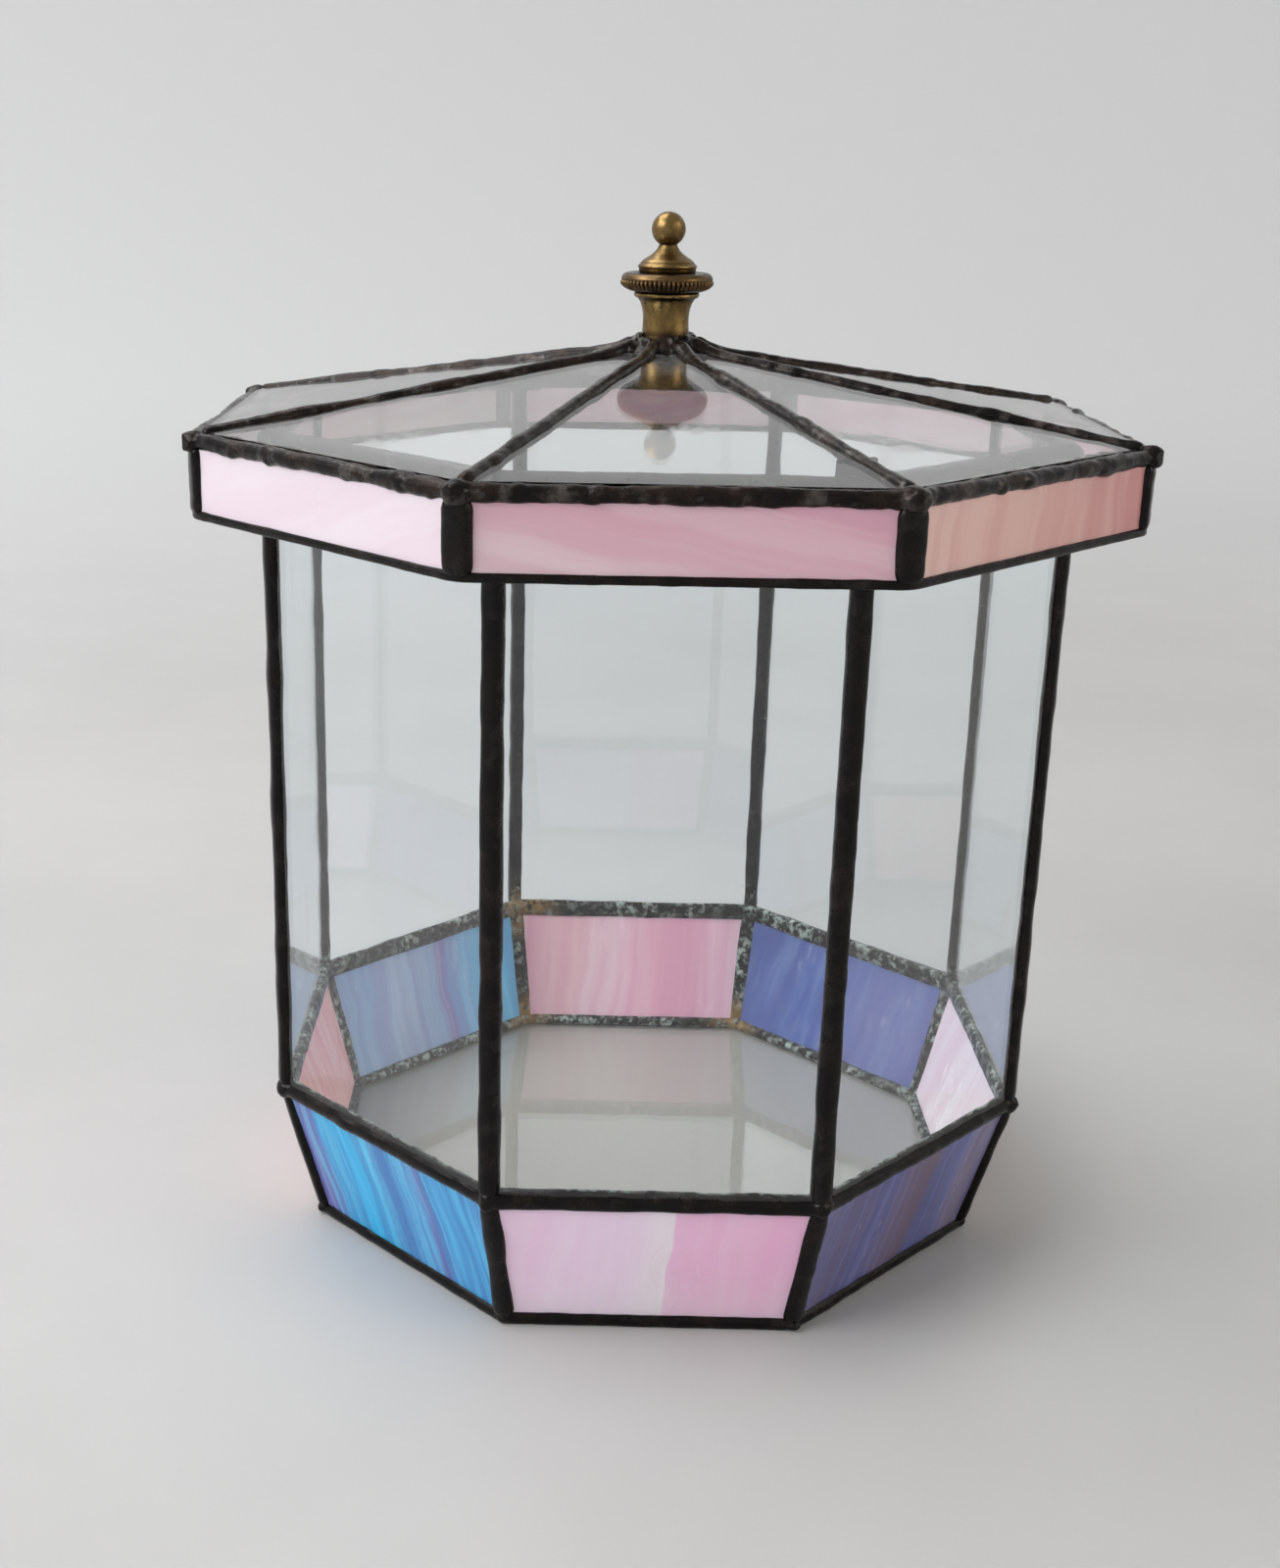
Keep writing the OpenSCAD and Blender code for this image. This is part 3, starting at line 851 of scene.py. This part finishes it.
fasciaLook = {
    "radius": 3.8, "step": 1.3, "wander": 0.12, "section": (1.05, 0.76, 0.62),
    "grain": 0.75, "soften": 2, "seed": 23.0, "ripples": [(9, 0.2), (4.0, 0.1)],
    "lumps": 0.25, "lumpSize": 7.0,
}
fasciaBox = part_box("fascia_pane_front")
fasciaMiddle = -(fasciaBox[0].y + fasciaBox[1].y) / 2
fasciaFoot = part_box("fascia_seams")[0].z + 0.2 * mm
fasciaLines = [[atCorner(k, fasciaMiddle - 0.3 * mm, z) for z in (fasciaFoot, eaveRing[1])]
               for k in range(sides)]
finish(barSeam("fasciaBeads", fasciaLook, fasciaLines), "lid", "dark_solder", solderPlain, "fascia_seams")


def hemSeam(name, look):
    low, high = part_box("hem_seam")
    wide = (high.y - fasciaMiddle) + look["over"] * mm
    tall = (high.z - low.z) / 2
    mesh = bmesh.new()
    path = ringPath(fasciaMiddle, (low.z + high.z) / 2, look["step"] * mm, 2)
    sweep(mesh, path, squareSection(flatSides, wide, tall), 1.0, True, look["wander"] * mm, look["seed"])
    return melt(name, mesh, look)


hemLook = {
    "step": 1.3, "wander": 0.06, "over": 0.1,
    "grain": 0.6, "soften": 1, "seed": 26.0, "ripples": [(12, 0.12), (5.0, 0.08)],
    "lumps": 0.2, "lumpSize": 9.0,
}
finish(hemSeam("hemBead", hemLook), "lid", "dark_solder", solderPlain, "hem_seam")


def collarSeam(name, look):
    # cup of solder that the finial stands in, with a lump where each ridge runs up to it
    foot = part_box("finial_neck")[0].z
    mesh = bmesh.new()
    rng = random.Random(look["endSeed"])
    pool(mesh, Vector((0, 0, foot - look["bedDrop"] * mm)), [r * mm for r in look["bed"]], 0, 3)
    for radius, lift, size in look["cup"]:
        turn = [2 * math.pi * i / look["around"] for i in range(look["around"])]
        cup = [Vector((radius * mm * math.cos(a), radius * mm * math.sin(a), foot + lift * mm))
               for a in turn]
        for p in cup:
            p.z += 0.8 * mm * noise.noise(p / (3.4 * mm) + Vector((lift, 0, 0)))
        sweep(mesh, cup, roundSection(12), size * mm, True, 0.35 * mm, 5)
    for k in range(sides):
        for reach, lift, size in look["ends"]:
            radii = [size * mm * rng.uniform(0.8, 1.15) for _ in range(3)]
            pool(mesh, ridgePoint(k, reach * mm, lift * mm), radii, cornerTurn(k), k)
    return melt(name, mesh, look)


collarLook = {
    "bed": (11.4, 11.4, 3.4), "bedDrop": 2.4, "around": 48, "endSeed": 4,
    "cup": [(8.6, 0.2, 1.6), (8.3, 1.6, 1.15)],  # radius, height over the finial's foot, thickness
    "ends": [(9.6, 2.2, 2.5), (11.6, 1.2, 3.0)],  # distance out along a ridge, lift, size
    "grain": 0.55, "soften": 1, "seed": 29.0, "ripples": [(7, 0.5), (2.8, 0.4)],
    "lumps": 0.9, "lumpSize": 3.6,
}
finish(collarSeam("finialSolder", collarLook), "lid", "dark_solder", solderShiny, "solder_collar")


def tabPieces(name, look):
    # tinned copper tabs, each held by a fillet of solder under its ridge
    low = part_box("locating_tabs")[0]
    mesh = bmesh.new()
    wall = -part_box("wall_pane_front")[1].y
    tabReach = (wall - look["inset"] * mm) / math.cos(halfTurn) - 2.0 * mm
    wide, thick = (size * mm for size in look["strip"])
    for k in look["corners"]:
        centre = ridgePoint(k, tabReach)
        top = centre.z
        tall = top - low.z
        made = bmesh.ops.create_cube(mesh, size=1.0)["verts"]
        spin = Euler((0, 0, cornerTurn(k))).to_matrix()
        middle = Vector((centre.x, centre.y, (top + low.z) / 2))
        for v in made:
            v.co = spin @ Vector((v.co.x * wide, v.co.y * thick, v.co.z * tall)) + middle
        fillet = Vector((centre.x, centre.y, top - look["filletDrop"] * mm))
        pool(mesh, fillet, [r * mm for r in look["fillet"]], cornerTurn(k), k)
    return melt(name, mesh, look)


tabLook = {
    "strip": (11, 1.3), "inset": 2.8, "fillet": (5.0, 2.6, 3.0), "filletDrop": 2.6, "corners": (0, 4),
    "grain": 0.5, "soften": 2, "seed": 33.0, "ripples": [(5, 0.2), (2.2, 0.12)],
    "lumps": 0.3, "lumpSize": 4.0,
}
finish(tabPieces("lidTabs", tabLook), "lid", "dark_solder", solderPlain, "locating_tabs")
print("solder run")


# finial, turned in brass

def arc(centre, radius, start, stop, count=8):
    # points round a centre, angles in degrees, 0 outwards and 90 upwards
    made = []
    for i in range(count + 1):
        angle = math.radians(start + (stop - start) * i / count)
        made.append((centre[0] + radius * math.cos(angle), centre[1] + radius * math.sin(angle)))
    return made


def curveThrough(points, count=6):
    # a smooth curve through given points (Catmull-Rom)
    made = []
    ends = [points[0]] + list(points) + [points[-1]]
    for i in range(1, len(ends) - 2):
        p0, p1, p2, p3 = (Vector(ends[i + j]) for j in (-1, 0, 1, 2))
        for step in range(count):
            t = step / count
            made.append(tuple(0.5 * (p1 * 2 + (p2 - p0) * t + (p0 * 2 - p1 * 5 + p2 * 4 - p3) * t ** 2
                                     + (p1 * 3 - p0 - p2 * 3 + p3) * t ** 3)))
    made.append(tuple(points[-1]))
    return made


def turned(name, profile, foot, around=144, flute=None):
    # profile is (radius, height) in mm above foot; flute is (count, depth, low, high)
    mesh = bmesh.new()
    rings = []
    for radius, height in profile:
        ring = []
        for i in range(around):
            angle = 2 * math.pi * i / around
            size = radius
            if flute and flute[2] < height < flute[3]:
                fade = math.sin(math.pi * (height - flute[2]) / (flute[3] - flute[2])) ** 0.4
                size -= flute[1] * fade * (0.5 - 0.5 * math.cos(angle * flute[0])) ** 1.4
            ring.append(mesh.verts.new((size * mm * math.cos(angle), size * mm * math.sin(angle),
                                        foot + height * mm)))
        rings.append(ring)
    for low, high in zip(rings, rings[1:]):
        for j in range(around):
            k = (j + 1) % around
            mesh.faces.new((low[j], low[k], high[k], high[j]))
    mesh.faces.new(list(reversed(rings[0])))
    mesh.faces.new(rings[-1])
    bmesh.ops.recalc_face_normals(mesh, faces=mesh.faces)
    data = bpy.data.meshes.new(name)
    mesh.to_mesh(data)
    mesh.free()
    for face in data.polygons:
        face.use_smooth = len(face.vertices) < 5
    piece = bpy.data.objects.new(name, data)
    scene.collection.objects.link(piece)
    return piece


neckFoot, neckTop = (p.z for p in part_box("finial_neck"))
collarFoot, collarTop = (p.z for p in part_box("finial_collar"))
knobFoot, knobTop = (p.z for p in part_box("finial_knob"))
neckTall = (neckTop - neckFoot) / mm
collarTall = (collarTop - collarFoot) / mm
knobTall = (knobTop - knobFoot) / mm
ballRadius = 4.95

neckProfile = [(7.4, 0.0)] + curveThrough(
    [(7.4, 0.6), (7.05, 2.6), (6.8, 5.0), (6.75, 7.4), (7.0, 9.8), (7.7, 12.0), (8.5, neckTall - 2.0)])
neckProfile += arc((8.75, neckTall - 0.95), 0.85, -85, 80, 10) + [(8.3, neckTall)]
collarProfile = [(9.6, 0.0), (10.9, 0.1), (11.7, 0.5)]
collarProfile += [(12.3 + 1.35 * math.sin(math.pi * i / 14 * 0.75), 0.75 + i * 0.17) for i in range(15)]
collarProfile += arc((11.35, collarTall - 2.15), 2.1, 12, 84, 12)
collarProfile += [(10.4, collarTall - 0.1), (9.0, collarTall)]
knobProfile = [(8.1, 0.0), (8.3, 0.25), (8.35, 1.1)] + arc((8.2, 1.75), 0.45, -50, 80, 6)
knobProfile += [(7.95, 2.5), (7.75, 2.8)]
knobProfile += curveThrough([(7.75, 2.8), (7.1, 3.5), (5.7, 4.4), (4.3, 5.4), (3.2, 6.6), (2.6, 7.8)])
ballCentre = knobTall - ballRadius
throat = math.degrees(math.asin(-math.sqrt(1 - (2.6 / ballRadius) ** 2)))
knobProfile += arc((0, ballCentre), ballRadius, throat, 89.0, 28)

brassLook = {
    "bright": (0.25, 0.165, 0.062), "dull": (0.11, 0.066, 0.027), "spot": (0.03, 0.02, 0.012),
    "tarnish": 0.75, "rough": 0.2,
    "grooves": [(neckTop / mm - 2.0, 0.8), (neckTop / mm, 0.6), (collarTop / mm, 0.7),
                (knobFoot / mm + 2.8, 0.3), (knobFoot / mm + 7.9, 0.8), (neckFoot / mm + 3.0, 2.0)],
}
fluteCount = 60
collarBrass = {
    "bright": (0.15, 0.092, 0.04), "dull": (0.075, 0.045, 0.022),
    "flutes": (fluteCount, collarFoot / mm + 0.6, collarFoot / mm + 3.3),
}
brass = agedBrass("brass", brassLook)
brassDull = agedBrass("brassCollar", dict(brassLook, **collarBrass))
neck = turned("finialNeck", neckProfile, neckFoot)
knurl = turned("finialCollar", collarProfile, collarFoot, 12 * fluteCount, (fluteCount, 0.8, 0.5, 3.4))
knob = turned("finialKnob", knobProfile, knobFoot)
finish(neck, "lid", "aged_brass", brass, "finial_neck")
finish(knurl, "lid", "aged_brass", brassDull, "finial_collar")
finish(knob, "lid", "aged_brass", brass, "finial_knob")
nodes["finial_stud"].data.materials.clear()
nodes["finial_stud"].data.materials.append(brass)
print("finial turned")


# floor that sweeps up all round, and soft lamps

def makeStage(look):
    mesh = bmesh.new()
    profile = [(look["flat"] * 0.5, 0.0), (look["flat"], 0.0)]
    for i in range(1, look["steps"] + 1):
        angle = math.radians(90 * i / look["steps"])
        profile.append((look["flat"] + look["sweep"] * math.sin(angle),
                        look["sweep"] * (1 - math.cos(angle))))
    profile.append((look["flat"] + look["sweep"], look["height"]))
    around = look["around"]
    turns = [2 * math.pi * i / around for i in range(around)]
    rings = [[mesh.verts.new((radius * math.cos(a), radius * math.sin(a), z)) for a in turns]
             for radius, z in profile]
    middle = mesh.verts.new((0, 0, 0))
    for j in range(around):
        mesh.faces.new((middle, rings[0][j], rings[0][(j + 1) % around]))
    for low, high in zip(rings, rings[1:]):
        for j in range(around):
            k = (j + 1) % around
            mesh.faces.new((low[k], low[j], high[j], high[k]))
    data = bpy.data.meshes.new("stage")
    mesh.to_mesh(data)
    mesh.free()
    data.polygons.foreach_set("use_smooth", [True] * len(data.polygons))
    stage = bpy.data.objects.new("stage", data)
    scene.collection.objects.link(stage)
    made, tree, shader, out, place = newMaterial("stage")
    mottle = stretch(tree, noiseNode(tree, place, 0.004, 4.0, 0.6), 0.3, 0.7)
    colour = blendColour(tree, mottle, look["colour"], look["mottle"])
    height = addNode(tree, "ShaderNodeSeparateXYZ", {0: place}).outputs["Z"]
    away = addNode(tree, "ShaderNodeVectorMath", {0: place}, operation="LENGTH").outputs["Value"]
    # painted light and shade on the backdrop: darker near the middle, paler further out, lighter higher up
    # the wall
    colour = blendColour(tree, stretch(tree, away, *look["paintedLightOut"]), colour, look["wall"])
    colour = blendColour(tree, stretch(tree, height, *look["paintedLightUp"]), colour, look["paintedLitTop"])
    tree.links.new(colour, shader.inputs["Base Color"])
    shader.inputs["Roughness"].default_value = look["rough"]
    shader.inputs["Specular IOR Level"].default_value = look["shine"]
    data.materials.append(made)


def softLamp(name, look):
    data = bpy.data.lights.new(name, "AREA")
    data.shape = "RECTANGLE"
    data.size, data.size_y = look["size"]
    data.energy = look["power"]
    data.color = look["colour"]
    lamp = bpy.data.objects.new(name, data)
    scene.collection.objects.link(lamp)
    lamp.location = look["place"]
    lamp.rotation_euler = (Vector(look["aim"]) - lamp.location).to_track_quat("-Z", "Y").to_euler()


stageLook = {
    "flat": 1.4, "sweep": 1.1, "height": 2.2, "steps": 12, "around": 96,  # metres
    "colour": (0.47, 0.467, 0.463), "mottle": (0.435, 0.433, 0.43), "rough": 0.55, "shine": 0.3,
    # the floor's darker middle and the wall's lighter top are painted shade and painted light standing in
    # for how the lamps fall
    "wall": (0.63, 0.636, 0.64), "paintedLightOut": (450.0, 1850.0),  # mm away from the middle
    "paintedLitTop": (0.87, 0.88, 0.885), "paintedLightUp": (500.0, 1300.0),  # mm up
}
lampLooks = {
    "window": {"place": (-1.25, -0.55, 1.2), "aim": (0, 0, 0.08), "size": (1.2, 1.0),
               "power": 24, "colour": (0.97, 0.98, 1.0)},
    "overhead": {"place": (-0.9, 0.6, 2.0), "aim": (-0.35, 0.4, 0), "size": (1.6, 1.4),
                 "power": 25, "colour": (0.98, 0.985, 1.0)},
    "fill": {"place": (1.7, -0.6, 0.9), "aim": (0, 0, 0.15), "size": (1.0, 1.0),
             "power": 8, "colour": (1.0, 0.9, 0.76)},
}
skyLook = {"colour": (1.0, 0.982, 0.95), "strength": 0.46}

makeStage(stageLook)
for lampName, look in lampLooks.items():
    softLamp(lampName, look)
world = bpy.data.worlds.new("world")
world.use_nodes = True
sky = world.node_tree.nodes["Background"].inputs
sky["Color"].default_value = (*skyLook["colour"], 1)
sky["Strength"].default_value = skyLook["strength"]
scene.world = world
print("stage and lamps set")
